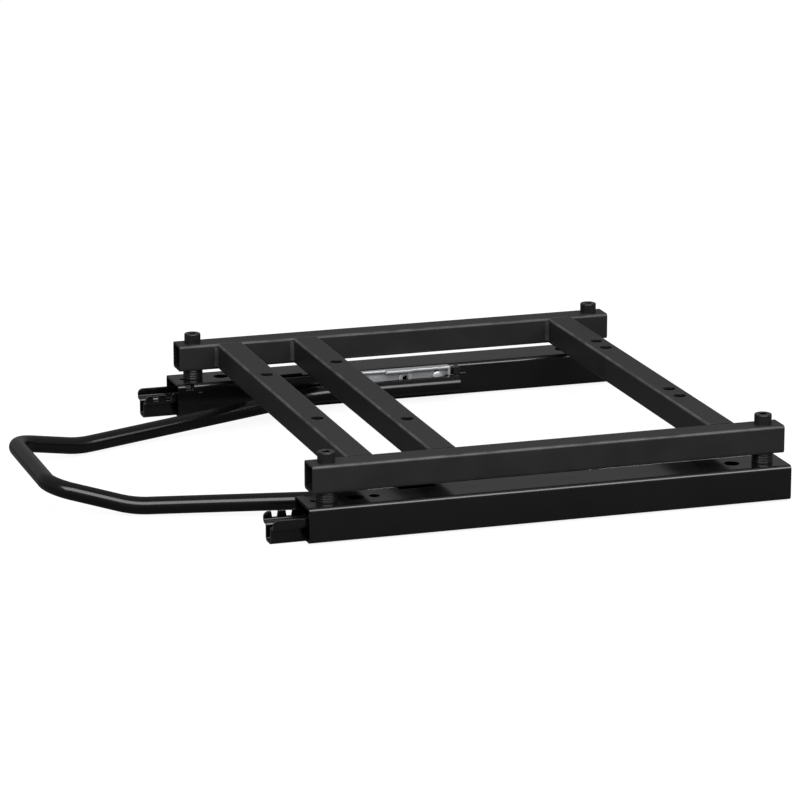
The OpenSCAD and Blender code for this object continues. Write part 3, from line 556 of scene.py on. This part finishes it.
caps = []
for side in ("left", "right"):
    for kind, profile, count, body in (("pivot_pin", RIM_PROFILE, 1, "carriage"),
                                       ("lift_stop", DOME_PROFILE, 1, "carriage"),
                                       ("claw_rivets", DOME_PROFILE, 2, "handle")):
        low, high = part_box(f"{kind}_{side}")
        radius = (high[2] - low[2]) / 2
        outward = -1 if side == "left" else 1
        face_y = low[1] if side == "left" else high[1]
        middle_z = (low[2] + high[2]) / 2
        for i, x in enumerate([low[0] + radius, high[0] - radius][:count]):
            caps.append(head_cap(f"{kind}_cap_{side}_{i + 1}", (x, face_y, middle_z), radius, profile, outward, body,
                                 zinc_rivet))
print("caps:", [cap.name for cap in caps])

# %% [markdown]
# Tube and wire are both a ring carried along a path. A curve with a bevel could do it, but a mesh can have a bore,
# rounded ends and a blend between two bodies. The ring turns no more than the path turns, so that it never twists.

# %% Helpers that carry a ring along a path
def rings_along(shape, path, radii, sides):
    """Lays a ring of the given radius around each point of a path, turned no more than the path turns."""
    heading = (path[1] - path[0]).normalized()
    across = heading.orthogonal().normalized()
    rings = []
    for i, (point, radius) in enumerate(zip(path, radii)):
        ahead = (path[min(i + 1, len(path) - 1)] - path[max(i - 1, 0)]).normalized()
        across = (heading.rotation_difference(ahead) @ across).normalized()
        heading = ahead
        other = heading.cross(across)
        angles = [2 * math.pi * k / sides for k in range(sides)]
        rings.append([shape.verts.new(point + radius * (across * math.cos(a) + other * math.sin(a))) for a in angles])
    return rings


def join_rings(shape, rings):
    """Lays a band of faces between each ring and the next."""
    for ring, following in zip(rings, rings[1:]):
        for k in range(len(ring)):
            m = (k + 1) % len(ring)
            shape.faces.new([ring[k], ring[m], following[m], following[k]])


print("path helpers ready")

# %% [markdown]
# The release bar is one length of round tube, bent cold in six places. A bending roll gives the slight bends a wide
# sweep and the grip's corners a tighter one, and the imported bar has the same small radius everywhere, which breaks
# the light line at each bend. So a tube with those sweeps takes its place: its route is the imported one, each corner
# is swapped for an arc, and the tube has a wall, because its two rear ends are open.

# %% Bent release bar
BAR_RADIUS = 0.0067
BAR_BORE = 0.0049
BAR_SIDES = 48
ARC_STEPS = 20
TUBE_CREASE = 50
HALF_ROUTE = [(0.073, 0.15755, 0.0145), (-0.0525, 0.15755, 0.0145), (-0.2665, 0.0886, 0.0073),
              (-0.324, 0.0646, 0.021)]
HALF_BENDS = [0.0, 0.07, 0.085, 0.026]

route = [Vector(point) for point in HALF_ROUTE] + [Vector((x, -y, z)) for x, y, z in HALF_ROUTE[::-1]]
bends = HALF_BENDS + HALF_BENDS[::-1]
bar_path = [route[0]]
for before, corner, after, radius in zip(route, route[1:], route[2:], bends[1:]):
    coming, going = (corner - before).normalized(), (after - corner).normalized()
    turn = coming.angle(going)
    inward = (going - coming).normalized()
    centre = corner + inward * radius / math.cos(turn / 2)
    start = corner - coming * radius * math.tan(turn / 2) - centre
    axis = coming.cross(going).normalized()
    for i in range(ARC_STEPS + 1):
        bar_path.append(centre + Quaternion(axis, turn * i / ARC_STEPS) @ start)
bar_path.append(route[-1])

shape = bmesh.new()
skin = rings_along(shape, bar_path, [BAR_RADIUS] * len(bar_path), BAR_SIDES)
bore = rings_along(shape, bar_path, [BAR_BORE] * len(bar_path), BAR_SIDES)
join_rings(shape, skin)
join_rings(shape, bore)
join_rings(shape, [skin[0], bore[0]])
join_rings(shape, [skin[-1], bore[-1]])
bent_bar = finished_piece("bent_release_bar", shape, bar_coat, TUBE_CREASE)
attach(bent_bar, "handle")
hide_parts("release_bar")
print("bar", round(sum((b - a).length for a, b in zip(bar_path, bar_path[1:])), 3), "m of tube")

# %% [markdown]
# A spring of round wire pushes each lever's tab up again: its coil sits on a post, its short leg hooks into the rail,
# and its long leg lies under the tab. The imported spring is a stack of plain rings, so a wound one takes its place,
# made as a spring maker does: one wire follows one path, out of the rail, around the post, and on under the tab.
# When the bar is lifted the tab presses the long leg down.

# %% Wound return springs
WIRE_RADIUS = 0.00065
WIRE_SIDES = 14
PACKED_WIRE = 0.0014
COIL_TURNS = 2
COIL_WIDTH = 0.0027
TURN_STEPS = 40
HOOK_REACH = 0.010
HOOK_BEND = 0.0012
HOOK_STEPS = 8
LEG_STEPS = 16
WIRE_CREASE = 50
WIRE_END = [(0.0, 0.5), (0.3, 0.85), (0.7, 1.0)]


def spring_path(side):
    """Gives the wire's middle line from hook to tip, the middle and radius of the coil, and the y of the long leg."""
    low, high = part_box(f"return_spring_{side}")
    outward = -1 if side == "left" else 1
    outer_y, hook_y = (low[1], high[1]) if side == "left" else (high[1], low[1])
    middle = Vector((high[0] - PACKED_WIRE / 2 - HOOK_REACH, 0.0, (low[2] + high[2]) / 2))
    coil_radius = (high[2] - low[2] - PACKED_WIRE) / 2
    last_y = outer_y - outward * PACKED_WIRE / 2
    first_y = last_y - outward * COIL_WIDTH
    bottom = middle.z - coil_radius
    hook_x = middle.x + HOOK_REACH
    path = [Vector((hook_x, hook_y, bottom)), Vector((hook_x, first_y - outward * HOOK_BEND * 1.5, bottom))]
    for i in range(HOOK_STEPS + 1):
        angle = math.pi / 2 * i / HOOK_STEPS
        path.append(Vector((hook_x - HOOK_BEND * (1 - math.cos(angle)),
                            first_y - outward * HOOK_BEND * (1 - math.sin(angle)), bottom)))
    for i in range(COIL_TURNS * TURN_STEPS + 1):
        angle = 2 * math.pi * i / TURN_STEPS
        y = first_y + (last_y - first_y) * i / (COIL_TURNS * TURN_STEPS)
        path.append(middle + Vector((-coil_radius * math.sin(angle), y, -coil_radius * math.cos(angle))))
    for i in range(1, LEG_STEPS + 1):
        path.append(Vector((middle.x + (low[0] - middle.x) * i / LEG_STEPS, last_y, bottom)))
    return path, middle, coil_radius, last_y


def wire_along(name, path):
    """Makes a solid wire along a path, with both ends rounded off."""
    first = (path[1] - path[0]).normalized() * WIRE_RADIUS
    last = (path[-1] - path[-2]).normalized() * WIRE_RADIUS
    points = [*[path[0] + along * first for along, share in WIRE_END], *path[1:-1],
              *[path[-1] - along * last for along, share in WIRE_END[::-1]]]
    end_shares = [share for along, share in WIRE_END]
    shares = [*end_shares, *[1.0] * len(path[1:-1]), *end_shares[::-1]]
    shape = bmesh.new()
    rings = rings_along(shape, points, [WIRE_RADIUS * share for share in shares], WIRE_SIDES)
    join_rings(shape, rings)
    shape.faces.new(rings[0][::-1])
    shape.faces.new(rings[-1])
    return finished_piece(name, shape, spring_wire, WIRE_CREASE)


for side in ("left", "right"):
    path, middle, coil_radius, last_y = spring_path(side)
    wound = wire_along(f"wound_spring_{side}", path)
    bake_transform(wound)
    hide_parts(f"return_spring_{side}")
    print(wound.name, "wire", round(sum((b - a).length for a, b in zip(path, path[1:])) / MM, 1), "mm long")

# %% [markdown]
# The box around every shown piece of the dressed model is printed.

# %% Print the dressed box
low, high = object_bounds()
print("visual box:", [round(c, 4) for c in (*low, *high)])
